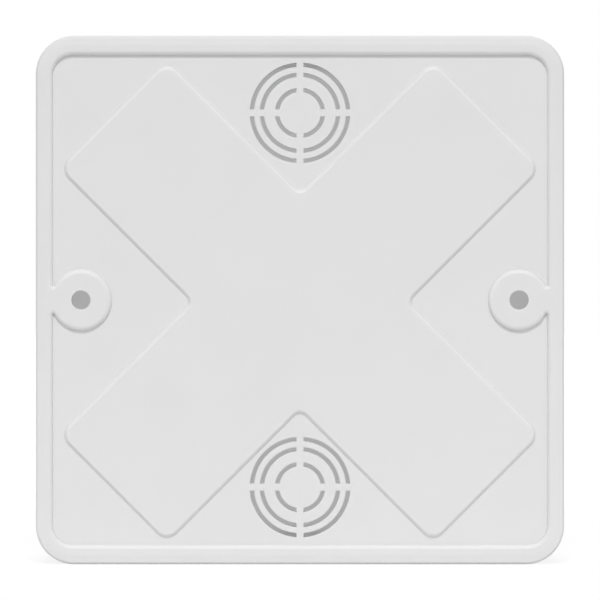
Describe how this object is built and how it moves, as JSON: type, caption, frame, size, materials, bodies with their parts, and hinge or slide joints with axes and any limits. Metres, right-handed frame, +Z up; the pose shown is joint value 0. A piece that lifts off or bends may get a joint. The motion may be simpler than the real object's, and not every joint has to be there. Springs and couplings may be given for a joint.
{
  "type": "junction box",
  "caption": "Square wall junction box: flat base plate with raised rim, stiffening cross, screw bosses and ring knockouts, closed by a deep push-on cover.",
  "frame": {"origin": "midway between the two wall-screw holes, on the wall plane that the rim and bosses bear on", "axes": "+X to the right and +Z up as the plate's wall side is seen, +Y out from the wall into the room"},
  "size_m": [0.105, 0.04, 0.105],
  "materials": {
    "white_plastic": "satin as moulded"
  },
  "bodies": {
    "base": {"base_plate": "white_plastic"},
    "cover": {"cover": "white_plastic"}
  },
  "joints": [
    {"name": "cover_slide", "type": "slide", "parent": "base", "child": "cover", "axis": [0, 1, 0], "range_m": [0, 0.05]}
  ]
}
